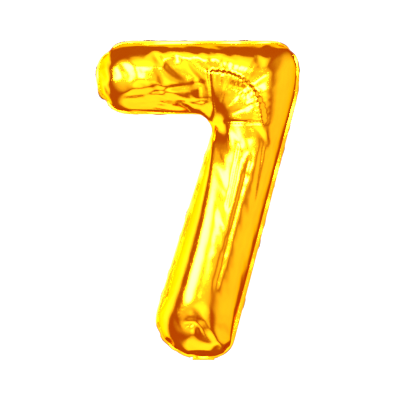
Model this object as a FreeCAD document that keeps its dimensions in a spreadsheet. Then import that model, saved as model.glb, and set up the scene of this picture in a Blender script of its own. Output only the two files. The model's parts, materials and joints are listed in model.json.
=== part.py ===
"""Foil number balloon in the shape of a 7: two film panels, their weld, a valve of two films and a tail.

Frame: millimetres, +Z up the digit, +X to the right of someone reading it, and the digit faces -Y.
The seam that joins the two panels lies in the plane Y = 0.
Origin: the middle of the neck, where the inlet tail leaves the lower edge of the seam margin.

The digit is two round tubes. The arm runs level along the top. The stem leans down to the foot from
the elbow, where the arm's end is rounded about the same centre. Real film is about 0.04 mm thick and
the model's is thicker, so that it can be meshed: film_wall, weld_gap and valve_wall say how thick.
"""
import math
import os

import FreeCAD
import Part
import Sketcher

# Driving sizes. Lengths are in millimetres and angles in degrees.
SIZES = [
    ("overall_height", 350.0, "height over the seam margin"),
    ("margin_width", 5.0, "flat welded margin round the digit"),
    ("arm_radius", 35.0, "radius of the filled arm and of the elbow"),
    ("foot_radius", 38.6, "radius of the filled stem at the foot"),
    ("stem_top_radius", 34.5, "radius of the filled stem where it enters the elbow"),
    ("elbow_reach", 64.6, "elbow centre, to the right of the origin"),
    ("tip_reach", 79.5, "centre of the arm's round tip, to the left of the origin"),
    ("foot_reach", 8.3, "centre of the round foot, to the left of the origin"),
    ("notch_radius", 20.0, "round of the margin in the corner under the arm"),
    ("heel_radius", 14.0, "round of the margin at the foot's right corner"),
    ("film_wall", 0.3, "thickness of one film in the model"),
    ("weld_gap", 0.2, "thickness of the melted layers between the two films"),
    ("valve_wall", 0.1, "thickness of one valve film"),
    ("valve_length", 100.0, "length of the valve films, up from the neck"),
    ("neck_width", 24.0, "width of the tail over its side seals"),
    ("passage_width", 18.0, "width of the air passage between the side seals"),
    ("tail_length", 40.0, "length of the tail from its fold to its mouth"),
    ("tail_gap", 0.8, "from the fold line to the first edge of the tail"),
    ("fold_drop", 1.0, "fold line, below the lower edge of the margin"),
    ("fold_angle", 63.0, "angle of the folded tail from straight up"),
    ("mouth_round", 3.0, "round of the tail's two outer corners"),
    ("hole_radius", 2.0, "radius of the ribbon hole"),
    ("hole_inset", 9.0, "centre of the ribbon hole, from the mouth"),
]

# Sizes worked out from the driving ones, as formulas of the sheet.
DERIVED = [
    ("arm_centre", "=overall_height - margin_width - arm_radius"),
    ("foot_centre", "=margin_width + foot_radius"),
    ("arm_margin_radius", "=arm_radius + margin_width"),
    ("foot_margin_radius", "=foot_radius + margin_width"),
    ("arm_inner", "=arm_radius - film_wall"),
    ("foot_inner", "=foot_radius - film_wall"),
    ("stem_top_inner", "=stem_top_radius - film_wall"),
    ("half_gap", "=weld_gap / 2"),
]

START, END, CENTRE = 1, 2, 3        # the point numbers that sketch constraints use
ORIGIN = (-1, 1)                    # the sketch's own origin, as a constraint names it


def make_sheet(doc):
    """Put every size in a spreadsheet, one row each: name, value, meaning."""
    sheet = doc.addObject("Spreadsheet::Sheet", "Sizes")
    row = 1
    for name, value, meaning in SIZES:
        sheet.set(f"A{row}", name)
        sheet.set(f"B{row}", str(value))
        sheet.set(f"C{row}", meaning)
        sheet.setAlias(f"B{row}", name)
        row += 1
    doc.recompute()
    for name, formula in DERIVED:
        sheet.set(f"A{row}", name)
        sheet.set(f"B{row}", formula)
        sheet.setAlias(f"B{row}", name)
        row += 1
    doc.recompute()
    return sheet


def point(x, z):
    return FreeCAD.Vector(x, z, 0)


def polar(centre, radius, degrees):
    angle = math.radians(degrees)
    return centre + point(radius * math.cos(angle), radius * math.sin(angle))


def arc(centre, radius, first, last):
    """Arc of a circle, counterclockwise from one angle to another in degrees."""
    circle = Part.Circle(centre, FreeCAD.Vector(0, 0, 1), radius)
    return Part.ArcOfCircle(circle, math.radians(first), math.radians(last))


def origin_plane(body, role):
    return next(feature for feature in body.Origin.OriginFeatures if feature.Role == role)


def new_body(doc, name):
    body = doc.addObject("PartDesign::Body", name)
    body.Label = name
    return body


def new_sketch(body, name, offset=None):
    """Sketch on the body's XZ plane: its x is X and its y is Z. It lies offset towards -Y."""
    sketch = body.newObject("Sketcher::SketchObject", name)
    sketch.AttachmentSupport = [(origin_plane(body, "XZ_Plane"), "")]
    sketch.MapMode = "FlatFace"
    if offset:
        sketch.setExpression("AttachmentOffset.Base.z", offset)
    return sketch


def size(sketch, formula, kind, *where):
    """Add a dimension that the sheet drives."""
    value = float(sketch.evalExpression(formula))
    spot = sketch.addConstraint(Sketcher.Constraint(kind, *where, value))
    name = f"size{spot}"
    sketch.renameConstraint(spot, name)
    sketch.setExpression(f"Constraints.{name}", formula)


def rule(sketch, kind, *where):
    sketch.addConstraint(Sketcher.Constraint(kind, *where))


def right_of_origin(sketch, spot, across, up):
    size(sketch, across, "DistanceX", *ORIGIN, *spot)
    size(sketch, up, "DistanceY", *ORIGIN, *spot)


def left_of_origin(sketch, spot, across, up):
    size(sketch, across, "DistanceX", *spot, *ORIGIN)
    size(sketch, up, "DistanceY", *ORIGIN, *spot)


class Digit:
    """The three centres of the digit and the lean of its stem, for the first draft of each sketch."""

    def __init__(self, sheet):
        self.tip = point(-sheet.tip_reach, sheet.arm_centre)
        self.elbow = point(sheet.elbow_reach, sheet.arm_centre)
        self.foot = point(-sheet.foot_reach, sheet.foot_centre)
        stem = self.elbow - self.foot
        self.stem_length = stem.Length
        self.stem_angle = math.degrees(math.atan2(stem.y, stem.x))

    def flare(self, top, bottom):
        """Angle between the stem's axis and its edge, with these radii at its two ends."""
        return math.degrees(math.asin((bottom - top) / self.stem_length))


def beside_foot(digit, direction, reach, level):
    """Point at a level whose distance from the foot's centre, measured along a direction, is reach."""
    normal = polar(point(0, 0), 1, direction)
    across = (reach - (level - digit.foot.y) * normal.y) / normal.x
    return point(digit.foot.x + across, level)


def outline_sketch(body, sheet, name, offset, arm="arm_margin_radius", foot="foot_margin_radius", heel=True):
    """Round tip, elbow and foot of the named radii, joined by tangents, with a round notch.

    With a heel, the foot's right corner is level below and has a round of its own.
    """
    digit = Digit(sheet)
    arm_r = sheet.get(arm)
    foot_r = sheet.get(foot)
    notch_r = sheet.notch_radius
    flare = digit.flare(arm_r, foot_r)
    right = digit.stem_angle - 90 + flare
    left = digit.stem_angle + 90 - flare
    over = digit.elbow.y + arm_r
    under = digit.elbow.y - arm_r
    # The notch's round touches the arm's lower edge and the stem's left edge from outside.
    notch = beside_foot(digit, left, foot_r + notch_r, under - notch_r)
    notch_side = polar(notch, notch_r, left - 180)
    foot_end = 270 if heel else right + 360

    sketch = new_sketch(body, name, offset)
    tip_arc = sketch.addGeometry(arc(digit.tip, arm_r, 90, 270))
    under_line = sketch.addGeometry(Part.LineSegment(point(digit.tip.x, under), point(notch.x, under)))
    notch_arc = sketch.addGeometry(arc(notch, notch_r, left - 180, 90))
    left_line = sketch.addGeometry(Part.LineSegment(notch_side, polar(digit.foot, foot_r, left)))
    foot_arc = sketch.addGeometry(arc(digit.foot, foot_r, left, foot_end))
    if heel:
        heel_r = sheet.heel_radius
        heel_centre = beside_foot(digit, right, foot_r - heel_r, heel_r)
        low = point(digit.foot.x, digit.foot.y - foot_r)
        neck_line = sketch.addGeometry(Part.LineSegment(low, point(heel_centre.x, low.y)))
        last_arc = sketch.addGeometry(arc(heel_centre, heel_r, 270, right + 360))
        stem_low = polar(heel_centre, heel_r, right)
    else:
        last_arc = foot_arc
        stem_low = polar(digit.foot, foot_r, right)
    right_line = sketch.addGeometry(Part.LineSegment(stem_low, polar(digit.elbow, arm_r, right)))
    elbow_arc = sketch.addGeometry(arc(digit.elbow, arm_r, right, 90))
    top_line = sketch.addGeometry(Part.LineSegment(point(digit.elbow.x, over), point(digit.tip.x, over)))

    rule(sketch, "Tangent", tip_arc, END, under_line, START)
    rule(sketch, "Tangent", under_line, END, notch_arc, END)
    rule(sketch, "Tangent", notch_arc, START, left_line, START)
    rule(sketch, "Tangent", left_line, END, foot_arc, START)
    rule(sketch, "Tangent", last_arc, END, right_line, START)
    rule(sketch, "Tangent", right_line, END, elbow_arc, START)
    rule(sketch, "Tangent", elbow_arc, END, top_line, START)
    rule(sketch, "Tangent", top_line, END, tip_arc, START)
    rule(sketch, "Horizontal", under_line)
    rule(sketch, "Tangent", left_line, elbow_arc)
    if heel:
        rule(sketch, "Tangent", foot_arc, END, neck_line, START)
        rule(sketch, "Tangent", neck_line, END, last_arc, START)
        rule(sketch, "Horizontal", neck_line)
        rule(sketch, "Tangent", right_line, foot_arc)
        size(sketch, "Sizes.heel_radius", "Radius", last_arc)
    left_of_origin(sketch, (tip_arc, CENTRE), "Sizes.tip_reach", "Sizes.arm_centre")
    right_of_origin(sketch, (elbow_arc, CENTRE), "Sizes.elbow_reach", "Sizes.arm_centre")
    left_of_origin(sketch, (foot_arc, CENTRE), "Sizes.foot_reach", "Sizes.foot_centre")
    size(sketch, f"Sizes.{arm}", "Radius", tip_arc)
    size(sketch, f"Sizes.{arm}", "Radius", elbow_arc)
    size(sketch, f"Sizes.{foot}", "Radius", foot_arc)
    size(sketch, "Sizes.notch_radius", "Radius", notch_arc)
    return sketch


def arm_sketch(body, sheet, name, offset, radius):
    """Upper half of the arm's tube with its two round ends, to be turned about the arm's axis."""
    digit = Digit(sheet)
    arm_r = sheet.get(radius)
    tip_pole = polar(digit.tip, arm_r, 180)
    elbow_pole = polar(digit.elbow, arm_r, 0)
    sketch = new_sketch(body, name, offset)
    elbow_arc = sketch.addGeometry(arc(digit.elbow, arm_r, 0, 90))
    tip_arc = sketch.addGeometry(arc(digit.tip, arm_r, 90, 180))
    top_line = sketch.addGeometry(
        Part.LineSegment(polar(digit.elbow, arm_r, 90), polar(digit.tip, arm_r, 90))
    )
    axis_line = sketch.addGeometry(Part.LineSegment(tip_pole, elbow_pole))
    turning_axis = sketch.addGeometry(Part.LineSegment(digit.tip, digit.elbow), True)

    rule(sketch, "Tangent", elbow_arc, END, top_line, START)
    rule(sketch, "Tangent", top_line, END, tip_arc, START)
    rule(sketch, "Coincident", tip_arc, END, axis_line, START)
    rule(sketch, "Coincident", axis_line, END, elbow_arc, START)
    rule(sketch, "PointOnObject", tip_arc, CENTRE, axis_line)
    rule(sketch, "PointOnObject", elbow_arc, CENTRE, axis_line)
    rule(sketch, "Coincident", turning_axis, START, tip_arc, CENTRE)
    rule(sketch, "Coincident", turning_axis, END, elbow_arc, CENTRE)
    left_of_origin(sketch, (tip_arc, CENTRE), "Sizes.tip_reach", "Sizes.arm_centre")
    right_of_origin(sketch, (elbow_arc, CENTRE), "Sizes.elbow_reach", "Sizes.arm_centre")
    size(sketch, f"Sizes.{radius}", "Radius", tip_arc)
    size(sketch, f"Sizes.{radius}", "Radius", elbow_arc)
    return sketch


def stem_sketch(body, sheet, name, offset, top_radius, foot_radius):
    """Right half of the stem's flared tube with its round foot, to be turned about the stem's axis."""
    digit = Digit(sheet)
    top_r = sheet.get(top_radius)
    foot_r = sheet.get(foot_radius)
    # The flared edge touches the foot's round and ends beside the elbow's centre, square to the axis.
    lean = math.degrees(math.atan2(top_r, digit.stem_length))
    slant = math.hypot(top_r, digit.stem_length)
    side = digit.stem_angle - lean - math.degrees(math.acos(foot_r / slant))
    shoulder = polar(digit.elbow, top_r, digit.stem_angle - 90)
    foot_pole = polar(digit.foot, foot_r, digit.stem_angle + 180)
    sketch = new_sketch(body, name, offset)
    foot_arc = sketch.addGeometry(arc(digit.foot, foot_r, digit.stem_angle - 180, side))
    edge_line = sketch.addGeometry(Part.LineSegment(polar(digit.foot, foot_r, side), shoulder))
    top_line = sketch.addGeometry(Part.LineSegment(shoulder, digit.elbow))
    axis_line = sketch.addGeometry(Part.LineSegment(digit.elbow, foot_pole))
    turning_axis = sketch.addGeometry(Part.LineSegment(digit.foot, digit.elbow), True)

    rule(sketch, "Tangent", foot_arc, END, edge_line, START)
    rule(sketch, "Coincident", edge_line, END, top_line, START)
    rule(sketch, "Coincident", top_line, END, axis_line, START)
    rule(sketch, "Coincident", axis_line, END, foot_arc, START)
    rule(sketch, "PointOnObject", foot_arc, CENTRE, axis_line)
    rule(sketch, "Perpendicular", top_line, axis_line)
    rule(sketch, "Coincident", turning_axis, START, foot_arc, CENTRE)
    rule(sketch, "Coincident", turning_axis, END, top_line, END)
    right_of_origin(sketch, (axis_line, START), "Sizes.elbow_reach", "Sizes.arm_centre")
    left_of_origin(sketch, (foot_arc, CENTRE), "Sizes.foot_reach", "Sizes.foot_centre")
    size(sketch, f"Sizes.{foot_radius}", "Radius", foot_arc)
    size(sketch, f"Sizes.{top_radius}", "Distance", top_line)
    return sketch


def box_sketch(body, name, offset, width, low, high, drop=False):
    """Rectangle centred on X = 0 between two heights, which drop turns into depths below the origin."""
    sketch = new_sketch(body, name, offset)
    first, last = (-2, -1) if drop else (1, 2)
    corners = [point(-1, first), point(1, first), point(1, last), point(-1, last)]
    lines = []
    for number in range(4):
        line = Part.LineSegment(corners[number], corners[(number + 1) % 4])
        lines.append(sketch.addGeometry(line))
    bottom, right, top, left = lines
    for number in range(4):
        rule(sketch, "Coincident", lines[number], END, lines[(number + 1) % 4], START)
    rule(sketch, "Horizontal", top)
    rule(sketch, "Vertical", right)
    rule(sketch, "Vertical", left)
    rule(sketch, "Symmetric", bottom, START, bottom, END, -2)
    size(sketch, width, "DistanceX", bottom, START, bottom, END)
    for line, height in ((bottom, low), (top, high)):
        if drop:
            size(sketch, height, "DistanceY", line, START, *ORIGIN)
        else:
            size(sketch, height, "DistanceY", *ORIGIN, line, START)
    return sketch


def feature(body, kind, name, sketch, **settings):
    """Add a feature made from a sketch. A setting given as text is a formula."""
    made = body.newObject(f"PartDesign::{kind}", name)
    made.Profile = (sketch, [""])
    for key, value in settings.items():
        if isinstance(value, str) and key != "Type":
            made.setExpression(key, value)
        else:
            setattr(made, key, value)
    sketch.Visibility = False
    return made


def turned(body, kind, name, sketch, angle, backwards):
    """Turn a sketch about its own axis line, as added or as cut material."""
    return feature(
        body, kind, name, sketch, ReferenceAxis=(sketch, ["Axis0"]), Angle=angle, Reversed=backwards
    )


def make_panel(doc, sheet, name, front):
    """One film panel: the flat margin, and the half tubes of the arm and the stem, hollow behind."""
    body = new_body(doc, name)
    sign = "" if front else "-"
    offset = f"{sign}Sizes.half_gap"
    margin = outline_sketch(body, sheet, f"{name}_margin", offset)
    feature(body, "Pad", f"{name}_flat", margin, Length="Sizes.film_wall", Reversed=not front)
    doc.recompute()
    arm = arm_sketch(body, sheet, f"{name}_arm", offset, "arm_radius")
    turned(body, "Revolution", f"{name}_arm_tube", arm, 180, not front)
    stem = stem_sketch(body, sheet, f"{name}_stem", offset, "stem_top_radius", "foot_radius")
    turned(body, "Revolution", f"{name}_stem_tube", stem, 180, front)
    doc.recompute()
    arm_hollow = arm_sketch(body, sheet, f"{name}_arm_inside", offset, "arm_inner")
    turned(body, "Groove", f"{name}_arm_hollow", arm_hollow, 180, not front)
    stem_hollow = stem_sketch(
        body, sheet, f"{name}_stem_inside", offset, "stem_top_inner", "foot_inner"
    )
    turned(body, "Groove", f"{name}_stem_hollow", stem_hollow, 180, front)
    doc.recompute()
    return body


def make_seal_band(doc, sheet):
    """Melted layers between the two margins, all round but for the neck's air passage."""
    body = new_body(doc, "heat_seal_band")
    outline = outline_sketch(body, sheet, "band_outline", None)
    feature(body, "Pad", "band_plate", outline, Length="Sizes.weld_gap", Midplane=True)
    doc.recompute()
    inside = outline_sketch(body, sheet, "band_inside", None, "arm_inner", "foot_inner", heel=False)
    feature(body, "Pocket", "band_opening", inside, Length="2 * Sizes.weld_gap", Midplane=True)
    doc.recompute()
    passage = box_sketch(
        body, "band_neck", None, "Sizes.passage_width", "-Sizes.margin_width", "2 * Sizes.margin_width"
    )
    feature(body, "Pocket", "band_passage", passage, Length="2 * Sizes.weld_gap", Midplane=True)
    doc.recompute()
    return body


def make_valve_film(doc, name, front):
    """One strip of the valve, in the neck's passage and up into the foot."""
    body = new_body(doc, name)
    strip = box_sketch(body, f"{name}_cut", None, "Sizes.passage_width", "0", "Sizes.valve_length")
    feature(body, "Pad", f"{name}_strip", strip, Length="Sizes.valve_wall", Reversed=not front)
    return body


def fold(body, sheet):
    """Turn a tail piece up behind the foot. It is drawn hanging down from a fold line at the origin."""
    turn = FreeCAD.Rotation(FreeCAD.Vector(1, 0, 0), 180 - sheet.fold_angle)
    body.Placement = FreeCAD.Placement(FreeCAD.Vector(0, 0, -sheet.fold_drop), turn)


def round_mouth(body, sheet, name):
    """Round the two outer corners at the mouth of a tail piece."""
    strip = body.Tip
    corners = []
    for number, edge in enumerate(strip.Shape.Edges, 1):
        box = edge.BoundBox
        if box.ZMax < -sheet.tail_length / 2 and box.YLength > box.XLength + box.ZLength:
            corners.append(f"Edge{number}")
    rounded = body.newObject("PartDesign::Fillet", name)
    rounded.Base = (strip, corners)
    rounded.setExpression("Radius", "Sizes.mouth_round")


def make_tail_film(doc, sheet, name, front):
    """One film of the inlet tail, with its half of the ribbon hole."""
    body = new_body(doc, name)
    offset = "Sizes.half_gap" if front else "-Sizes.half_gap"
    strip = box_sketch(
        body, f"{name}_cut", offset, "Sizes.neck_width", "Sizes.tail_length", "Sizes.tail_gap", drop=True
    )
    feature(body, "Pad", f"{name}_strip", strip, Length="Sizes.film_wall", Reversed=not front)
    doc.recompute()
    round_mouth(body, sheet, f"{name}_corners")
    hole = new_sketch(body, f"{name}_hole", offset)
    centre = point(0, sheet.hole_inset - sheet.tail_length)
    circle = hole.addGeometry(Part.Circle(centre, FreeCAD.Vector(0, 0, 1), sheet.hole_radius))
    size(hole, "Sizes.hole_radius", "Radius", circle)
    rule(hole, "PointOnObject", circle, CENTRE, -2)
    size(hole, "Sizes.tail_length - Sizes.hole_inset", "DistanceY", circle, CENTRE, *ORIGIN)
    feature(body, "Pocket", f"{name}_punch", hole, Length="2 * Sizes.film_wall", Reversed=front)
    doc.recompute()
    fold(body, sheet)
    return body


def make_side_seals(doc, sheet):
    """The two welded strips along the sides of the tail, one solid each side of the passage."""
    body = new_body(doc, "tail_side_seals")
    strip = box_sketch(
        body, "seals_cut", None, "Sizes.neck_width", "Sizes.tail_length", "Sizes.tail_gap", drop=True
    )
    feature(body, "Pad", "seals_strip", strip, Length="Sizes.weld_gap", Midplane=True)
    doc.recompute()
    round_mouth(body, sheet, "seals_corners")
    body.AllowCompound = True
    passage = box_sketch(
        body, "seals_passage", None, "Sizes.passage_width", "2 * Sizes.tail_length", "0", drop=True
    )
    feature(body, "Pocket", "seals_split", passage, Length="2 * Sizes.weld_gap", Midplane=True)
    doc.recompute()
    fold(body, sheet)
    return body


def main():
    doc = FreeCAD.newDocument("foil_seven")
    sheet = make_sheet(doc)
    bodies = [
        make_panel(doc, sheet, "front_panel", True),
        make_panel(doc, sheet, "rear_panel", False),
        make_seal_band(doc, sheet),
        make_valve_film(doc, "valve_front_film", True),
        make_valve_film(doc, "valve_rear_film", False),
        make_tail_film(doc, sheet, "tail_front_film", True),
        make_tail_film(doc, sheet, "tail_rear_film", False),
        make_side_seals(doc, sheet),
    ]
    doc.recompute()
    for item in doc.Objects:
        if "Invalid" in item.State or "Error" in item.State:
            raise RuntimeError(f"{item.Label} did not compute: {item.State}")
    os.makedirs("parts", exist_ok=True)
    for body in bodies:
        shape = body.Shape
        if shape.isNull() or not shape.isValid():
            raise RuntimeError(f"{body.Label} has no valid shape")
        shape.exportStep(f"parts/{body.Label}.step")


main()
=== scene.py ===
import json
import math

import bpy
import numpy as np
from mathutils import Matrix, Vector
from mathutils.geometry import delaunay_2d_cdt


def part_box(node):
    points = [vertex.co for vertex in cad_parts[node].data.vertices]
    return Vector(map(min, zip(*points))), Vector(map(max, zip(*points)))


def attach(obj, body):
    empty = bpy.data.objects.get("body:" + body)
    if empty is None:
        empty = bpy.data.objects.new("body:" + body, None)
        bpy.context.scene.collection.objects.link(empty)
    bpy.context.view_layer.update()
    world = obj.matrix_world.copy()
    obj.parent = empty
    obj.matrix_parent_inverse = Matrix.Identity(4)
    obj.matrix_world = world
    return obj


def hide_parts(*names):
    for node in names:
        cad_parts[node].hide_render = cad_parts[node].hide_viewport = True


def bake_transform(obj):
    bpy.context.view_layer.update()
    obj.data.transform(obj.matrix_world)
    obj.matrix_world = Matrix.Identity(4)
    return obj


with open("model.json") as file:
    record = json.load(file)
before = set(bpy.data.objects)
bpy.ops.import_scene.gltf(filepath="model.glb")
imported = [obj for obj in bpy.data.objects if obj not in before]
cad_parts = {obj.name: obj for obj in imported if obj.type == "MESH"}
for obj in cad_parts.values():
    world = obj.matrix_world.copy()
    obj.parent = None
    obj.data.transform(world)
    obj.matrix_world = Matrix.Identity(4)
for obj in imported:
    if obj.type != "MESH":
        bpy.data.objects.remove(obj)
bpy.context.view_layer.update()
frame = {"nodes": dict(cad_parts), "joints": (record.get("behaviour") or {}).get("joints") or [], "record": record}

# The digit, in metres. x is to the right, y to the rear and z up, as in the frame.
LOW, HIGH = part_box("front_panel")
MARGIN = 0.005                  # width of the flat welded margin outside the seam
ARM_HEIGHT = 0.0808             # of the digit's upper arm, margins included
TIP_BEYOND = 0.0014             # the filled digit is this much shorter at the arm's tip than the CAD shells,
SHOULDER_BEYOND = 0.0008        # and this much wider at the right
HEEL = (0.0307, 0.0076)         # the foot's three corners, before they are rounded
SOLE = (-0.0091, -0.0068)
TOE = (-0.0591, 0.0282)
INNER_X = 0.0156                # the corner under the arm, before it is rounded
SHOULDER_Z = 0.2961             # where the right edge starts to lean
TIP_RADIUS = 0.0375
SHOULDER_RADIUS = 0.0309
LEAN_RADIUS = 0.127
HEEL_RADIUS = 0.018
SOLE_RADIUS = 0.058
TOE_RADIUS = 0.038
INNER_RADIUS = 0.0177

# The outline's parts are numbered from the arm's upper tip: even ones are arcs, odd ones lines.
PUCKERED = {0: 1.0, 2: 0.8, 6: 1.0, 8: 1.0, 10: 1.0, 14: 1.0}   # the puckered arcs, and how closely
ARM_PIT = 12                    # the arc under the arm
PUCKER_STEP = 0.027             # between the puckers round the ends
PUCKER_DEPTH = 0.0028
PUCKER_DRIFT = (0.13, 7.1)      # how far their spacing wanders, and how fast

# The film. It is cut larger than the seam by the blown-up tube's radius times pi/2 - 1.
NARROWEST = 0.0345              # radius of the blown-up tube, where it is narrowest and widest
WIDEST = 0.0390
SLACK = 0.003                   # how far the weld is drawn in while the film is blown up
END_SLACK = 0.004               # more of it round the ends,
ELBOW_SLACK = 0.002             # at the elbow,
ARM_PIT_SLACK = 0.003           # and in the corner under the arm
SLACK_BLEND = 17                # mesh points over which these run into one another
RADIUS_BLEND = 15
ELBOW = (0.048, 0.290)          # the middle of the elbow
ELBOW_REACH = 0.065
SPACING = 0.0036                # of the film's mesh
UNEVEN = 0.1                    # how uneven that mesh is, as a share of its spacing
FINER = 8                       # finer points along the weld for each of the mesh's
START_ROUNDS = 6                # of evening out the film before it is blown up
END_ROUNDS = 2                  # and after
STRAY = 0.0001                  # a little unevenness, so that the film has a way to crease
FILM = 0.0002                   # the film's thickness, as drawn
LAYER = 0.00035                 # from the weld's middle to a film's outer face

# The creases that are pressed into the blown-up film.
BEND_CENTRE = (0.012, 0.261)    # the middle of the bent tube that the film creases into at the elbow
BEND_REACH = 0.053              # from there to the tube's outer side
BEND_ENDS = (-3.0, 97.0)        # the directions of its two ends, in degrees up from the right
FOLD_DEPTH = 0.0035             # how far the film drops on the outer side,
FOLD_WIDTH = 0.020              # how wide the hollow is there,
FOLD_EDGE = 0.0008              # and how sharp its edge
BEND_FADE = 50                  # how sharply the hollow and the pleats stop at the tube's two ends
PLEATS = 15                     # short creases across the tube's outer side
PLEAT_DRIFT = (0.02, 9)         # how far their spacing wanders, and how fast
PLEAT_DEPTH = 0.0008
PLEAT_BULGE = 0.0016            # how far the outer side bulges between them
PLEAT_INSIDE = 0.005            # how far inside the outer side they are deepest
PLEAT_LENGTH = 0.006
CREASES = [                     # each from one place to another, then its width and depth
    ((0.011, 0.272), (0.005, 0.316), 0.0016, 0.0012),       # the bent tube's two ends
    ((0.023, 0.260), (0.067, 0.258), 0.0016, 0.0012),
    ((0.019, 0.282), (0.028, 0.310), 0.0014, 0.0007),       # across it
    ((0.027, 0.277), (0.047, 0.300), 0.0014, 0.0008),
    ((0.032, 0.269), (0.060, 0.281), 0.0014, 0.0006),
    ((-0.084, 0.288), (0.001, 0.302), 0.0030, 0.0010),      # along the arm
    ((-0.070, 0.279), (0.003, 0.283), 0.0018, 0.0006),
    ((0.051, 0.224), (0.013, 0.080), 0.0030, 0.0011),       # along the stem
    ((0.064, 0.234), (0.054, 0.172), 0.0022, 0.0009),
    ((0.040, 0.236), (0.026, 0.166), 0.0022, 0.0007),
]
CREASED_HEIGHT = 0.02           # the creases fade out where the film lies lower than this over the seam

# The welded margin: it waves a little, and more between the puckers.
WAVE = 0.0003
PUCKERED_WAVE = 0.0016
WAVES = 23
WAVE_DRIFT = (2.1, 5)           # how far the waves wander, in radians, and how many times round
MARGIN_PINCH = 0.0006
MARGIN_STEPS = (0.08, 0.5, 1.0)         # shares of the margin's width at which the film has points,
WELD_STEPS = (0.12, 0.5, 0.96)          # and the melted layer
SEAM_CREASE = 0.7                       # how sharp the film turns at the seam: 0 is round and 1 is sharp
RAGGED = 0.0005                         # how ragged the weld's outer edge is,
RAGGED_WAVES = ((31, 0), (47, 1), (12, 2))      # and its waves round the digit, with their phases

# The inlet tail.
TAIL_ROOM = 0.0022              # between the tail's middle and the film it is folded against
ROOM_BESIDE = 0.008             # the film is moved out to this far beside the tail,
ROOM_FADE = 0.006               # and less and less over the last of it
ROOM_START = 0.001              # it is moved from this far out from the seam,
ROOM_RISE = 0.004               # and more and more over this distance
TAIL_BEND = 0.0008              # radius of the fold where the tail turns up
TAIL_CURL = 0.0002              # how far its two sides curl
TAIL_CRINKLE = 0.00012
CRINKLE_WAVES = ((300, 900), (1300, -700))      # radians per metre across and along the tail
TAIL_GAP = 0.0001               # at the fold its films lie this much farther out than the panels',
TAIL_CLOSED = 0.0002            # and beyond it they close up by this much
TAIL_FLAT = 0.012               # over this distance from the fold, the curl and the crinkle grow
MOUTH_ROUND = 0.003
HOLE_RADIUS = 0.002
SEAL_START = 0.002              # the side welds, from the fold
SEAL_INSET = 0.0002             # from the tail's sides
SEAL_WIDTH = 0.003

# The tail's mesh: where its rows lie along it, with 0 where the bend starts.
MARGIN_ROWS = (-0.0022, -0.0003, 5)     # first, last and number inside the margin
BEND_ROWS = (0, 0.0022, 0.00015)        # from, to and step round the bend
TAIL_ROWS = (0.0026, 0.0011)            # from and step beyond it
TAIL_COLUMNS = 22
MOUTH_POINTS = 18
HOLE_POINTS = 28
RIM_CLEAR = 0.0005              # other points keep this far from the hole's rim,
BORDER_CLEAR = 0.00012          # and from the border
SEAL_ROWS = 34
SEAL_COLUMNS = 4

# The cloth simulation runs at ten times the size, so that one unit is 100 mm.
ENLARGE = 10.0
DRAW_FRAMES = 25
LAST_FRAME = 48
SEED = 7
CLOTH = {
    "quality": 8,
    "mass": 0.3,
    "tension_stiffness": 1500,
    "compression_stiffness": 1500,
    "shear_stiffness": 600,
    "bending_stiffness": 2,
    "tension_damping": 10,
    "compression_damping": 10,
    "shear_damping": 10,
    "air_damping": 5,
    "use_pressure": True,
    "uniform_pressure_force": 15,
    "vertex_group_mass": "weld",
}

# The studio that the film reflects: each lit panel's degrees to the camera's left, degrees up, half
# width, softness and strength.
PANELS = [
    (38, 9, 8, 8, 60.0),        # the key panel
    (4, 13, 6, 5, 60.0),        # a second one over the camera
    (16, 4, 34, 14, 0.88),      # broad fill beside the camera
    (0, 42, 15, 8, 1.0),        # above it
    (0, -22, 13, 7, 0.8),       # and below
    (180, 52, 22, 8, 0.9),      # overhead and behind
    (0, -74, 27, 8, 1.2),       # the floor's glow
    (116, 0, 38, 8, 1.4),       # left
    (168, 2, 22, 8, 1.0),       # behind
    (-76, 0, 38, 16, 0.78),     # right
]
ROOM = (0.50, 0.10, 0.012)      # the unlit room
PANEL_SHADES = (0.9, 1.1)       # how unevenly the panels are lit
FLOOR_DROP = 0.06               # the floor, below the foot
LENS = 150.0                    # the camera's, in millimetres
SEEN_WIDTH = 1.256              # the picture's width in heights of the digit
CAMERA_RIGHT = 0.0036           # of the digit's middle


# ---------------------------------------------------------------- the outline

def outline_corners():
    """The margin's outer edge as a polygon, clockwise from the arm's tip, with the radius of each corner."""
    under_arm = HIGH.z - ARM_HEIGHT
    left, right = LOW.x + TIP_BEYOND, HIGH.x + SHOULDER_BEYOND
    corners = [
        ((left, HIGH.z), TIP_RADIUS),
        ((right, HIGH.z), SHOULDER_RADIUS),
        ((right, SHOULDER_Z), LEAN_RADIUS),
        (HEEL, HEEL_RADIUS),
        (SOLE, SOLE_RADIUS),
        (TOE, TOE_RADIUS),
        ((INNER_X, under_arm), -INNER_RADIUS),
        ((left, under_arm), TIP_RADIUS),
    ]
    return [np.array(point) for point, _ in corners], [radius for _, radius in corners]


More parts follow.
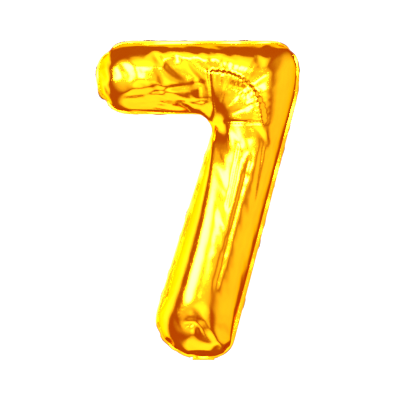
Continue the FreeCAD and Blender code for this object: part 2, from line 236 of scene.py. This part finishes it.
class Outline:
    """The seam: arcs and lines with a place and an outward normal at every distance along it."""

    def __init__(self, corners, radii, inset):
        count = len(corners)
        arcs = []
        for i, radius in enumerate(radii):
            after = corners[(i + 1) % count]
            centre, full, start, turn = self.corner(corners[i - 1], corners[i], after, radius)
            side = -1.0 if radius < 0 else 1.0
            arcs.append((centre, full - side * inset, start, turn, side))
        self.parts = []
        for arc, after in zip(arcs, arcs[1:] + arcs[:1]):
            here, normal = self.on_arc(arc, 1.0)
            there, _ = self.on_arc(after, 0.0)
            self.parts.append(("arc", arc[1] * abs(arc[3]), arc))
            self.parts.append(("line", np.linalg.norm(there - here), (here, there, normal)))
        self.ends = np.cumsum([part[1] for part in self.parts])
        self.length = self.ends[-1]

    @staticmethod
    def corner(before, corner, after, radius):
        """The arc that rounds a corner: its centre, radius, first direction and turn."""
        radius = abs(radius)
        one = (before - corner) / np.linalg.norm(before - corner)
        two = (after - corner) / np.linalg.norm(after - corner)
        angle = math.acos(one @ two)
        centre = corner + (one + two) / np.linalg.norm(one + two) * radius / math.sin(angle / 2)
        first = corner + one * radius / math.tan(angle / 2) - centre
        last = corner + two * radius / math.tan(angle / 2) - centre
        start = math.atan2(first[1], first[0])
        turn = (math.atan2(last[1], last[0]) - start + math.pi) % (2 * math.pi) - math.pi
        return centre, radius, start, turn

    @staticmethod
    def on_arc(arc, share):
        centre, radius, start, turn, side = arc
        out = np.array([math.cos(start + turn * share), math.sin(start + turn * share)])
        return centre + out * radius, out * side

    def at(self, distance):
        """At a distance along the outline: place, outward normal, index of the part, share of it passed."""
        distance = distance % self.length
        index = min(int(np.searchsorted(self.ends, distance, side="right")), len(self.parts) - 1)
        kind, length, data = self.parts[index]
        share = (distance - (self.ends[index] - length)) / length
        if kind == "arc":
            place, normal = self.on_arc(data, share)
        else:
            place, normal = data[0] + (data[1] - data[0]) * share, data[2]
        return place, normal, index, share

    def sample(self, count):
        found = [self.at(self.length * i / count) for i in range(count)]
        return [np.array([row[k] for row in found]) for k in range(4)]


def pucker(parts, shares, lengths):
    """0 between the puckers of a round end, and 1 where the weld is pinched in."""
    depth = np.zeros(len(parts))
    for i, (part, share) in enumerate(zip(parts, shares)):
        if part in PUCKERED:
            folds = max(2, round(lengths[part] / PUCKER_STEP * PUCKERED[part]))
            far, fast = PUCKER_DRIFT
            wave = abs(math.sin(math.pi * (folds * share + far * math.sin(fast * share + part))))
            fade = min(1.0, 5 * share, 5 * (1 - share))
            depth[i] = (1 - wave) ** 2 * fade
    return depth


# ---------------------------------------------------------------- the film

def inside(points, ring):
    """Which of the points lie inside the ring."""
    found = np.zeros(len(points), bool)
    for (x0, z0), (x1, z1) in zip(ring, np.roll(ring, -1, axis=0)):
        if z0 != z1:
            crossing = (x1 - x0) * (points[:, 1] - z0) / (z1 - z0) + x0
            found ^= ((z0 > points[:, 1]) != (z1 > points[:, 1])) & (points[:, 0] < crossing)
    return found


def nearest(points, ring):
    """The nearest of the ring's points to each point, how far it is, and which one it is."""
    best, far = np.zeros(len(points), int), np.full(len(points), 1e9)
    for index, place in enumerate(ring):
        gap = ((points - place) ** 2).sum(1)
        closer = gap < far
        far[closer] = gap[closer]
        best[closer] = index
    return ring[best], np.sqrt(far), best


def lattice(low, high, step, random):
    """A slightly uneven triangular lattice over a rectangle."""
    rows = []
    for k, z in enumerate(np.arange(low[1], high[1], step * math.sqrt(3) / 2)):
        x = np.arange(low[0] + step / 2 * (k % 2), high[0], step)
        rows.append(np.stack([x, np.full(len(x), z)], 1))
    grid = np.vstack(rows)
    return grid + random.normal(0, step * UNEVEN, grid.shape)


def triangles(points, ring_count, hole_count=0):
    """Triangles between flat points, all facing one way. The border's points come first, then a hole's."""
    border = [(i, (i + 1) % ring_count) for i in range(ring_count)]
    border += [(ring_count + i, ring_count + (i + 1) % hole_count) for i in range(hole_count)]
    places, _, faces, *_ = delaunay_2d_cdt([Vector(p) for p in points], border, [], 1, 1e-9)
    if len(places) != len(points):
        raise RuntimeError("the film's mesh gained or lost points")
    faces = np.array([list(face) for face in faces])
    a, b, c = (points[faces[:, k]] for k in range(3))
    area = (b - a)[:, 0] * (c - a)[:, 1] - (b - a)[:, 1] * (c - a)[:, 0]
    faces[area < 0] = faces[area < 0][:, ::-1]
    return faces


def domed(depth, radius, width_lost):
    """Where a point that deep in the flat film lies once each edge has moved in by width_lost."""
    half = radius * math.pi / 2
    angle = np.full(len(depth), math.pi / 2)
    for _ in range(40):
        slope = half * (np.cos(angle) / angle - np.sin(angle) / angle ** 2)
        angle -= (np.sin(angle) * half / angle - (half - width_lost)) / slope
    bend = half / angle
    rest = np.clip(half - depth, 0, None) / bend
    way = np.where(depth < half, half - bend * np.sin(rest), depth)
    return way, bend * (np.cos(rest) - np.cos(angle))


def smoothed(values, width):
    """A closed ring of values, averaged over a number of neighbours."""
    window = np.hanning(width) / np.hanning(width).sum()
    count = len(values)
    return np.convolve(np.concatenate([values] * 3), window, "same")[count:2 * count]


def tube_radius(seam, normal):
    """At each seam point, the radius of the largest circle that touches the seam there and fits inside it."""
    found = np.zeros(len(seam))
    for i in range(len(seam)):
        gap = seam[i] - seam
        toward = gap @ normal[i]
        fits = toward > 1e-6
        found[i] = ((gap[fits] ** 2).sum(1) / (2 * toward[fits])).min()
    return smoothed(np.clip(found, NARROWEST, WIDEST), RADIUS_BLEND)


class Film:
    """Both sheets of film as one closed bag, welded round its ring, before and after it is blown up."""

    def __init__(self, outline):
        random = np.random.default_rng(SEED)
        self.count = int(round(outline.length / SPACING))
        self.seam, self.normal, self.part, self.share = outline.sample(self.count)
        pinch = pucker(self.part, self.share, [part[1] for part in outline.parts])
        self.pinch = pinch
        from_elbow = np.linalg.norm(self.seam - np.array(ELBOW), axis=1)
        at_elbow = np.exp(-(from_elbow / ELBOW_REACH) ** 2)
        slack = SLACK + END_SLACK * np.isin(self.part, list(PUCKERED)) + ELBOW_SLACK * at_elbow
        slack = smoothed(slack + ARM_PIT_SLACK * (self.part == ARM_PIT), SLACK_BLEND)
        radius = tube_radius(self.seam, self.normal)
        extra = radius * (math.pi / 2 - 1)
        cut_ring = self.seam + self.normal * extra[:, None]
        fine = outline.sample(self.count * FINER)
        fine_ring = fine[0] + fine[1] * self.between(extra, np.arange(self.count * FINER))[:, None]
        grid = lattice(cut_ring.min(0), cut_ring.max(0), SPACING, random)
        grid = grid[inside(grid, cut_ring)]
        edge, depth, beside = nearest(grid, fine_ring)
        kept = depth > 0.7 * SPACING
        grid, edge, depth, beside = grid[kept], edge[kept], depth[kept], beside[kept]
        flat = np.vstack([cut_ring, grid])
        self.sheet = triangles(flat, self.count)
        self.points = len(flat)
        self.loose = np.concatenate([np.zeros(self.count), np.clip(depth / (3 * SPACING), 0.15, 1)])
        inward = (grid - edge) / depth[:, None]
        lost = self.between(extra - slack, beside)
        way, height = domed(depth, self.between(radius, beside), lost)
        plan = np.vstack([self.seam + self.normal * slack[:, None], edge + inward * way[:, None]])
        height = np.concatenate([np.zeros(self.count), height])
        noise = random.normal(0, STRAY, (2, self.points)) * (height > 0)
        front = np.stack([plan[:, 0], -height + noise[0], plan[:, 1]], 1)
        rear = np.stack([plan[:, 0], height + noise[1], plan[:, 1]], 1)
        front = settle(front, self.sheet, self.loose, START_ROUNDS)
        rear = settle(rear, self.sheet, self.loose, START_ROUNDS)
        self.start = np.vstack([front, rear[self.count:]])
        other = np.arange(self.points)
        other[self.count:] += self.points - self.count
        self.rear_index = other
        self.faces = np.vstack([self.sheet, other[self.sheet][:, ::-1]])
        self.drawn = self.seam - self.normal * (PUCKER_DEPTH * pinch)[:, None]

    def between(self, values, index):
        """A ring of values read at the places of a finer ring."""
        return np.interp(index / FINER, np.arange(self.count + 1), np.append(values, values[0]))

    def blow_up(self):
        """Draws the weld in and lets the gas push the film out, as cloth under pressure."""
        scene = bpy.context.scene
        mesh = bpy.data.meshes.new("film")
        mesh.from_pydata((self.start * ENLARGE).tolist(), [], self.faces.tolist())
        bag = bpy.data.objects.new("film", mesh)
        scene.collection.objects.link(bag)
        end = self.start.copy()
        end[:self.count, 0] = self.drawn[:, 0]
        end[:self.count, 2] = self.drawn[:, 1]
        bag.shape_key_add(name="Basis")
        key = bag.shape_key_add(name="drawn_in")
        key.data.foreach_set("co", (end * ENLARGE).astype(np.float32).ravel())
        key.value = 0
        key.keyframe_insert("value", frame=1)
        key.value = 1
        key.keyframe_insert("value", frame=DRAW_FRAMES + 1)
        held = bag.vertex_groups.new(name="weld")
        held.add(list(range(self.count)), 1.0, "REPLACE")
        cloth = bag.modifiers.new("film", "CLOTH")
        for setting, value in CLOTH.items():
            setattr(cloth.settings, setting, value)
        cloth.settings.effector_weights.gravity = 0
        cloth.collision_settings.use_collision = False
        cloth.point_cache.frame_start = 1
        cloth.point_cache.frame_end = LAST_FRAME
        scene.frame_start, scene.frame_end = 1, LAST_FRAME
        for number in range(1, LAST_FRAME + 1):
            scene.frame_set(number)
        shown = bag.evaluated_get(bpy.context.evaluated_depsgraph_get())
        places = np.empty(len(self.start) * 3, np.float32)
        shown.data.vertices.foreach_get("co", places)
        bpy.data.objects.remove(bag)
        bpy.data.meshes.remove(mesh)
        scene.frame_set(1)
        return places.reshape(-1, 3).astype(float) / ENLARGE


# ---------------------------------------------------------------- pieces

def mesh_piece(name, places, faces, material):
    mesh = bpy.data.meshes.new(name)
    mesh.from_pydata([tuple(p) for p in places], [], [list(map(int, face)) for face in faces])
    mesh.polygons.foreach_set("use_smooth", [True] * len(mesh.polygons))
    mesh.materials.append(material)
    piece = bpy.data.objects.new(name, mesh)
    bpy.context.scene.collection.objects.link(piece)
    return piece


def apply_modifiers(piece):
    """Makes the piece's modifiers part of its mesh."""
    shown = piece.evaluated_get(bpy.context.evaluated_depsgraph_get())
    mesh = bpy.data.meshes.new_from_object(shown)
    old = piece.data
    piece.modifiers.clear()
    piece.data = mesh
    bpy.data.meshes.remove(old)


def thicken(piece, thickness, offset):
    solid = piece.modifiers.new("thickness", "SOLIDIFY")
    solid.thickness = thickness
    solid.offset = offset


def settle(places, faces, loose, rounds):
    """Evens out the film between its mesh points, as far as each is loose.

    That is 0 at the weld and 1 away from it. Every second step swells what the first one shrank.
    """
    pairs = np.vstack([faces[:, [0, 1]], faces[:, [1, 2]], faces[:, [2, 0]]])
    pairs = np.unique(np.sort(pairs, axis=1), axis=0)
    near = np.zeros(len(places))
    np.add.at(near, pairs[:, 0], 1)
    np.add.at(near, pairs[:, 1], 1)
    for k in range(rounds * 2):
        share = 0.5 if k % 2 == 0 else -0.52
        total = np.zeros_like(places)
        np.add.at(total, pairs[:, 0], places[pairs[:, 1]])
        np.add.at(total, pairs[:, 1], places[pairs[:, 0]])
        places = places + share * loose[:, None] * (total / near[:, None] - places)
    return places


def margin_rows(film, shares, layer):
    """Rows of points across the welded margin, at these shares of its width out from the seam."""
    along = np.arange(film.count) / film.count
    far, often = WAVE_DRIFT
    ripple = np.sin(2 * math.pi * WAVES * along + far * np.sin(2 * math.pi * often * along))
    curved = WAVE + PUCKERED_WAVE * smoothed(film.pinch, 15)
    rows = []
    for share in shares:
        distance = MARGIN * share
        plan = film.drawn + film.normal * (distance - MARGIN_PINCH * film.pinch * share)[:, None]
        height = layer + curved * ripple * share ** 1.5
        rows.append(np.stack([plan[:, 0], height, plan[:, 1]], 1))
    return rows


def creased(places):
    """The places of a blown-up sheet, with the elbow's bent tube and the long creases pressed in."""
    off = places[:, [0, 2]] - np.array(BEND_CENTRE)
    reach = np.hypot(off[:, 0], off[:, 1])
    first, last = np.radians(BEND_ENDS)
    share = (np.arctan2(off[:, 1], off[:, 0]) - first) / (last - first)
    at_bend = 1 / (1 + np.exp((np.abs(share - 0.5) - 0.5) * BEND_FADE))
    far, fast = PLEAT_DRIFT
    across = np.abs(np.sin(math.pi * PLEATS * (share + far * np.sin(fast * share))))
    past = reach - BEND_REACH - PLEAT_BULGE * across
    dropped = 1 / (1 + np.exp(-past / FOLD_EDGE))
    hollow = FOLD_DEPTH * dropped * np.exp(-np.clip(past, 0, None) / FOLD_WIDTH) * at_bend
    near_edge = np.exp(-((reach - BEND_REACH + PLEAT_INSIDE) / PLEAT_LENGTH) ** 2)
    pleat = (1 - across) ** 2 * near_edge * at_bend
    depth = hollow + PLEAT_DEPTH * pleat
    for start, end, width, drop in CREASES:
        run = np.array(end) - np.array(start)
        length = np.linalg.norm(run)
        from_start = places[:, [0, 2]] - np.array(start)
        along = from_start @ run / length
        beside = (from_start[:, 1] * run[0] - from_start[:, 0] * run[1]) / length
        reaches = 1 / (1 + np.exp((np.abs(along - length / 2) - length / 2) / width))
        depth += drop * np.exp(-(beside / width) ** 2) * reaches
    made = places.copy()
    made[:, 1] -= np.sign(places[:, 1]) * depth * np.clip(np.abs(places[:, 1]) / CREASED_HEIGHT, 0, 1)
    return made


def clear_of_tail(places, tail):
    """The places of a sheet, moved clear where they would touch the tail folded against the foot."""
    out = np.abs(places[:, 1])
    height = tail.way[0] * (places[:, 2] - tail.fold[1]) - tail.way[1] * out
    beside = smooth_step((tail.half + ROOM_BESIDE - np.abs(places[:, 0])) / ROOM_FADE)
    lift = np.clip(TAIL_ROOM - height, 0, None) * beside * smooth_step((out - ROOM_START) / ROOM_RISE)
    made = places.copy()
    made[:, 1] -= np.sign(places[:, 1]) * lift * tail.way[1]
    made[:, 2] += lift * tail.way[0]
    return made


def film_panel(name, film, places, side, material, tail):
    """One sheet of film: its blown-up face and its half of the welded margin."""
    index = np.arange(film.points) if side < 0 else film.rear_index
    face = places[index].copy()
    face = settle(face, film.sheet, film.loose, END_ROUNDS)
    sheet = film.sheet if side < 0 else film.sheet[:, ::-1]
    face[:film.count, 1] += side * LAYER
    rows = margin_rows(film, MARGIN_STEPS, side * LAYER)
    all_places = np.vstack([face, *rows])
    count = film.count
    starts = [0] + [film.points + k * count for k in range(len(rows))]
    quads = []
    for one, two in zip(starts, starts[1:]):
        for i in range(count):
            j = (i + 1) % count
            quad = [one + i, two + i, two + j, one + j]
            quads.append(quad if side < 0 else quad[::-1])
    piece = mesh_piece(name, all_places, [*sheet.tolist(), *quads], material)
    crease = piece.data.attributes.new("crease_edge", "FLOAT", "EDGE")
    ends = np.zeros(len(piece.data.edges) * 2, np.int32)
    piece.data.edges.foreach_get("vertices", ends)
    ends = ends.reshape(-1, 2)
    crease.data.foreach_set("value", (ends < count).all(1).astype(np.float32) * SEAM_CREASE)
    round_off = piece.modifiers.new("round", "SUBSURF")
    round_off.levels = round_off.render_levels = 1
    apply_modifiers(piece)
    rounded = np.empty(len(piece.data.vertices) * 3, np.float32)
    piece.data.vertices.foreach_get("co", rounded)
    pressed = clear_of_tail(creased(rounded.reshape(-1, 3).astype(float)), tail)
    piece.data.vertices.foreach_set("co", pressed.astype(np.float32).ravel())
    thicken(piece, FILM, -1)
    apply_modifiers(piece)
    return piece


def seal_piece(film, material):
    """The melted film between the two sheets, all round but for the neck."""
    low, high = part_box("valve_front_film")
    rows = margin_rows(film, WELD_STEPS, 0.0)
    along = 2 * math.pi * np.arange(film.count) / film.count
    ragged = sum(np.sin(waves * along + phase) for waves, phase in RAGGED_WAVES)
    beyond = film.normal * (RAGGED * np.clip(ragged, -1, 2))[:, None]
    rows[-1][:, [0, 2]] += beyond
    count = film.count
    at_neck = (film.seam[:, 1] < LOW.z + 2 * MARGIN) & (film.seam[:, 0] > low.x) & (film.seam[:, 0] < high.x)
    quads = []
    for row in range(len(rows) - 1):
        for i in range(count):
            j = (i + 1) % count
            if not (at_neck[i] or at_neck[j]):
                quads.append([row * count + i, (row + 1) * count + i, (row + 1) * count + j, row * count + j])
    places = np.vstack(rows)
    used = np.unique(np.array(quads))
    renamed = np.full(len(places), -1)
    renamed[used] = np.arange(len(used))
    piece = mesh_piece("weld_band", places[used], renamed[np.array(quads)].tolist(), material)
    thicken(piece, FILM, 0)
    apply_modifiers(piece)
    return piece


def smooth_step(value):
    value = np.clip(value, 0, 1)
    return value * value * (3 - 2 * value)


class Tail:
    """The inlet tail: flat points (across, along) from its fold line, and where they lie."""

    def __init__(self):
        joint = next(j for j in frame["joints"] if j["name"] == "tail_fold")
        low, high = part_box("tail_front_film")
        self.fold = np.array(joint["pos_m"][1:])
        way = np.array([high.y, high.z]) - self.fold
        self.length = np.linalg.norm(way)
        self.way = way / self.length
        self.half = (high.x - low.x) / 2
        hole = next(m for m in frame["record"]["mounts"] if m["name"] == "ribbon_hole")
        self.hole = np.linalg.norm(np.array(hole["pos_m"][1:]) - self.fold)
        self.turn = math.atan2(self.way[1], self.way[0]) + math.pi / 2
        self.reach = TAIL_BEND * math.tan(self.turn / 2)

    def place(self, across, along, side):
        """along is 0 where the bend starts. The film goes straight down, round the bend, then along."""
        bend = np.clip(along / TAIL_BEND, 0, self.turn)
        down = np.clip(-along, 0, None)
        on = np.clip(along - self.turn * TAIL_BEND, 0, None)
        y = TAIL_BEND * (1 - np.cos(bend)) + on * self.way[0]
        z = self.fold[1] + self.reach - TAIL_BEND * np.sin(bend) + on * self.way[1] + down
        normal = np.stack([np.cos(bend), np.sin(bend)], 1)
        ramp = smooth_step(on / TAIL_FLAT)
        curl = ramp * TAIL_CURL * (across / self.half) ** 2
        waves = sum(np.sin(one * across + other * along) for one, other in CRINKLE_WAVES)
        crinkle = ramp * TAIL_CRINKLE * waves
        gap = side * (LAYER + TAIL_GAP - TAIL_CLOSED * ramp)
        out = gap - curl + crinkle
        return np.stack([across, y + normal[:, 0] * out, z + normal[:, 1] * out], 1)


def tail_film(name, tail, side, material):
    """One sheet of the tail, from the margin to the mouth, with its half of the ribbon hole."""
    first, last = MARGIN_ROWS[0], tail.length + (tail.turn * TAIL_BEND - tail.reach)
    start, step = TAIL_ROWS
    rows = np.concatenate([np.linspace(*MARGIN_ROWS), np.arange(*BEND_ROWS),
                           np.arange(start, last - MOUTH_ROUND, step)])
    turn = np.linspace(0, math.pi / 2, 7)
    corner = np.stack([tail.half - MOUTH_ROUND + MOUTH_ROUND * np.cos(turn),
                       last - MOUTH_ROUND + MOUTH_ROUND * np.sin(turn)], 1)
    right = np.vstack([np.stack([np.full(len(rows), tail.half), rows], 1), corner])
    left = right[::-1] * np.array([-1, 1])
    mouth = np.linspace(corner[-1, 0], -corner[-1, 0], MOUTH_POINTS)[1:-1]
    columns = np.linspace(-tail.half, tail.half, TAIL_COLUMNS)[1:-1]
    border = np.vstack([right, np.stack([mouth, np.full(len(mouth), last)], 1), left,
                        np.stack([columns, np.full(len(columns), first)], 1)])
    around = np.linspace(0, 2 * math.pi, HOLE_POINTS, endpoint=False)
    middle = np.array([0, tail.hole + tail.turn * TAIL_BEND - tail.reach])
    rim = middle + HOLE_RADIUS * np.stack([np.cos(around), np.sin(around)], 1)
    inner = np.array([(x, z) for z in np.append(rows[1:], last - MOUTH_ROUND / 2) for x in columns])
    off_rim = np.linalg.norm(inner - middle, axis=1) > HOLE_RADIUS + RIM_CLEAR
    inner = inner[off_rim & (nearest(inner, border)[1] > BORDER_CLEAR)]
    flat = np.vstack([border, rim, inner])
    faces = triangles(flat, len(border), len(rim))
    faces = faces[np.linalg.norm(flat[faces].mean(1) - middle, axis=1) > HOLE_RADIUS * 0.99]
    places = tail.place(flat[:, 0], flat[:, 1], side)
    piece = mesh_piece(name, places, faces if side < 0 else faces[:, ::-1], material)
    thicken(piece, FILM / 2, 0)
    apply_modifiers(piece)
    return piece


def tail_seals(tail, material):
    """The welds down the tail's two sides."""
    last = tail.length - MOUTH_ROUND
    along = np.linspace(SEAL_START, last, SEAL_ROWS)
    places, faces = [], []
    for side in (-1, 1):
        columns = [tail.place(np.full(len(along), side * x), along, 0)
                   for x in np.linspace(tail.half - SEAL_WIDTH, tail.half - SEAL_INSET, SEAL_COLUMNS)]
        start = sum(len(c) for c in places)
        places.extend(columns)
        for c in range(SEAL_COLUMNS - 1):
            for r in range(len(along) - 1):
                one = start + c * len(along) + r
                faces.append([one, one + 1, one + 1 + len(along), one + len(along)])
    piece = mesh_piece("tail_side_welds", np.vstack(places), faces, material)
    thicken(piece, FILM, 0)
    apply_modifiers(piece)
    return piece


# ---------------------------------------------------------------- materials

class Material:
    """A node material with its principled shader, and short ways to add and join nodes."""

    def __init__(self, name):
        self.material = bpy.data.materials.new(name)
        self.material.use_nodes = True
        self.tree = self.material.node_tree
        self.shader = self.tree.nodes["Principled BSDF"]

    def node(self, kind, **values):
        made = self.tree.nodes.new(kind)
        for key, value in values.items():
            if key in made.inputs:
                made.inputs[key].default_value = value
            else:
                setattr(made, key, value)
        return made

    def join(self, out, into):
        self.tree.links.new(out, into)

    def constant(self, **values):
        for key, value in values.items():
            self.shader.inputs[key.replace("_", " ")].default_value = value

    def noise(self, place, scale, detail, **more):
        made = self.node("ShaderNodeTexNoise", Scale=scale, Detail=detail, **more)
        self.join(place, made.inputs["Vector"])
        return made.outputs["Fac"]

    def colours(self, noise, first, one, last, other):
        """Base colour between two, from one level of the noise to another."""
        made = self.node("ShaderNodeValToRGB")
        ramp = made.color_ramp.elements
        ramp[0].position, ramp[0].color = first, (*one, 1)
        ramp[1].position, ramp[1].color = last, (*other, 1)
        self.join(noise, made.inputs["Fac"])
        self.join(made.outputs["Color"], self.shader.inputs["Base Color"])

    def roughness(self, noise, low, high, levels=(0.0, 1.0)):
        made = self.node("ShaderNodeMapRange")
        made.inputs["From Min"].default_value, made.inputs["From Max"].default_value = levels
        made.inputs["To Min"].default_value = low
        made.inputs["To Max"].default_value = high
        self.join(noise, made.inputs["Value"])
        self.join(made.outputs["Result"], self.shader.inputs["Roughness"])

    def bump(self, noise, strength, height):
        made = self.node("ShaderNodeBump", Strength=strength, Distance=height)
        self.join(noise, made.inputs["Height"])
        self.join(made.outputs["Normal"], self.shader.inputs["Normal"])


def gold_film():
    gold = Material("gold_film")
    gold.constant(Metallic=1.0, Specular_Tint=(1.0, 0.45, 0.08, 1.0))
    place = gold.node("ShaderNodeTexCoord").outputs["Object"]
    tone = gold.noise(place, 18.0, 3.0)
    gold.colours(tone, 0.35, (1.0, 0.60, 0.009), 0.65, (1.0, 0.68, 0.010))
    haze = gold.noise(place, 70.0, 4.0)
    gold.roughness(haze, 0.07, 0.15, levels=(0.3, 0.7))
    grain = gold.noise(place, 260.0, 5.0, Roughness=0.6)
    gold.bump(grain, 0.12, 0.0004)
    return gold.material


def melted_seal():
    seal = Material("melted_seal")
    seal.constant(Metallic=0.6)
    place = seal.node("ShaderNodeTexCoord").outputs["Object"]
    noise = seal.noise(place, 300.0, 3.0)
    seal.colours(noise, 0.3, (0.20, 0.05, 0.005), 0.7, (0.50, 0.18, 0.01))
    seal.roughness(noise, 0.35, 0.6)
    seal.bump(noise, 0.3, 0.0002)
    return seal.material


def clear_film():
    clear = Material("clear_film")
    clear.constant(Transmission_Weight=0.6, IOR=1.5)
    place = clear.node("ShaderNodeTexCoord").outputs["Object"]
    noise = clear.noise(place, 90.0, 4.0)
    clear.colours(noise, 0.3, (0.80, 0.82, 0.84), 0.7, (0.93, 0.94, 0.95))
    clear.roughness(noise, 0.1, 0.3)
    clear.bump(noise, 0.2, 0.0003)
    return clear.material


# ---------------------------------------------------------------- studio

def studio_world():
    """A pale room to the camera, and to the film a dark warm room with soft lit panels."""
    world = bpy.data.worlds.new("studio")
    bpy.context.scene.world = world
    world.use_nodes = True
    tree = world.node_tree
    way = tree.nodes.new("ShaderNodeTexCoord").outputs["Generated"]
    total = None
    for turn, rise, half, soft, strength in PANELS:
        turn, rise = math.radians(turn), math.radians(rise)
        aim = (-math.sin(turn) * math.cos(rise), -math.cos(turn) * math.cos(rise), math.sin(rise))
        dot = tree.nodes.new("ShaderNodeVectorMath")
        dot.operation = "DOT_PRODUCT"
        dot.inputs[1].default_value = aim
        tree.links.new(way, dot.inputs[0])
        edge = tree.nodes.new("ShaderNodeMapRange")
        edge.interpolation_type = "SMOOTHSTEP"
        edge.inputs["From Min"].default_value = math.cos(math.radians(half + soft))
        edge.inputs["From Max"].default_value = math.cos(math.radians(max(half - soft, 0)))
        edge.inputs["To Max"].default_value = strength
        tree.links.new(dot.outputs["Value"], edge.inputs["Value"])
        if total is None:
            total = edge.outputs["Result"]
        else:
            add = tree.nodes.new("ShaderNodeMath")
            add.operation = "ADD"
            tree.links.new(total, add.inputs[0])
            tree.links.new(edge.outputs["Result"], add.inputs[1])
            total = add.outputs["Value"]
    uneven = tree.nodes.new("ShaderNodeTexNoise")
    uneven.inputs["Scale"].default_value = 2.4
    uneven.inputs["Detail"].default_value = 3.0
    tree.links.new(way, uneven.inputs["Vector"])
    shade = tree.nodes.new("ShaderNodeMapRange")
    shade.inputs["From Min"].default_value = 0.3
    shade.inputs["From Max"].default_value = 0.7
    shade.inputs["To Min"].default_value, shade.inputs["To Max"].default_value = PANEL_SHADES
    tree.links.new(uneven.outputs["Fac"], shade.inputs["Value"])
    dimmed = tree.nodes.new("ShaderNodeMath")
    dimmed.operation = "MULTIPLY"
    tree.links.new(total, dimmed.inputs[0])
    tree.links.new(shade.outputs["Result"], dimmed.inputs[1])
    total = dimmed.outputs["Value"]
    room = tree.nodes.new("ShaderNodeVectorMath")
    room.operation = "ADD"
    room.inputs[0].default_value = ROOM
    tree.links.new(total, room.inputs[1])
    lit = tree.nodes["Background"]
    tree.links.new(room.outputs[0], lit.inputs["Color"])
    pale = tree.nodes.new("ShaderNodeBackground")
    pale.inputs["Color"].default_value = (1.0, 1.0, 1.0, 1)
    pale.inputs["Strength"].default_value = 1.15
    seen = tree.nodes.new("ShaderNodeLightPath")
    mix = tree.nodes.new("ShaderNodeMixShader")
    tree.links.new(seen.outputs["Is Glossy Ray"], mix.inputs[0])
    tree.links.new(pale.outputs[0], mix.inputs[1])
    tree.links.new(lit.outputs[0], mix.inputs[2])
    tree.links.new(mix.outputs[0], tree.nodes["World Output"].inputs["Surface"])


def floor():
    bpy.ops.mesh.primitive_plane_add(size=6.0, location=(0, 0, LOW.z - FLOOR_DROP))
    ground = bpy.context.object
    ground.name = "studio_floor"
    ground.visible_glossy = False
    paint = Material("studio_floor")
    paint.constant(Base_Color=(0.96, 0.96, 0.96, 1), Roughness=0.9, Specular_IOR_Level=0.0)
    ground.data.materials.append(paint.material)


def lamp(name, place, size, energy):
    """A soft lamp, aimed near the digit's middle."""
    data = bpy.data.lights.new(name, "AREA")
    data.size = size
    data.energy = energy
    made = bpy.data.objects.new(name, data)
    made.location = place
    aim = Vector((0, 0, 0.17))
    made.rotation_euler = (aim - Vector(place)).to_track_quat("-Z", "Y").to_euler()
    made.visible_camera = False
    made.visible_glossy = False
    bpy.context.scene.collection.objects.link(made)


def camera():
    data = bpy.data.cameras.new("camera")
    made = bpy.data.objects.new("camera", data)
    bpy.context.scene.collection.objects.link(made)
    bpy.context.scene.camera = made
    data.lens = LENS
    seen_width = (HIGH.z - LOW.z) * SEEN_WIDTH
    distance = seen_width * data.lens / data.sensor_width
    middle = Vector(((LOW.x + HIGH.x) / 2 + CAMERA_RIGHT, 0, (LOW.z + HIGH.z) / 2))
    made.location = middle + Vector((0, -distance, 0))
    made.rotation_euler = (math.radians(90), 0, 0)


# ---------------------------------------------------------------- the scene

def main():
    gold, seal, clear = gold_film(), melted_seal(), clear_film()
    outline = Outline(*outline_corners(), MARGIN)
    film = Film(outline)
    tail = Tail()
    places = film.blow_up()
    for name, node, side in (("front_film", "front_panel", -1), ("rear_film", "rear_panel", 1)):
        piece = film_panel(name, film, places, side, gold, tail)
        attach(piece, "envelope")
        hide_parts(node)
    band = seal_piece(film, seal)
    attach(band, "envelope")
    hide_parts("heat_seal_band")
    for name in ("valve_front_film", "valve_rear_film"):
        frame["nodes"][name].data.materials.clear()
        frame["nodes"][name].data.materials.append(clear)
    tail_sides = (("inlet_front_film", "tail_front_film", -1), ("inlet_rear_film", "tail_rear_film", 1))
    for name, node, side in tail_sides:
        piece = tail_film(name, tail, side, gold)
        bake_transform(piece)
        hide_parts(node)
    welds = tail_seals(tail, seal)
    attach(welds, "inlet_tail")
    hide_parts("tail_side_seals")
    floor()
    studio_world()
    lamp("key", (-0.9, -1.6, 1.1), 1.2, 14)
    lamp("fill", (1.2, -1.2, 0.8), 1.6, 8)
    camera()
    bpy.context.scene.view_settings.view_transform = "Standard"


main()
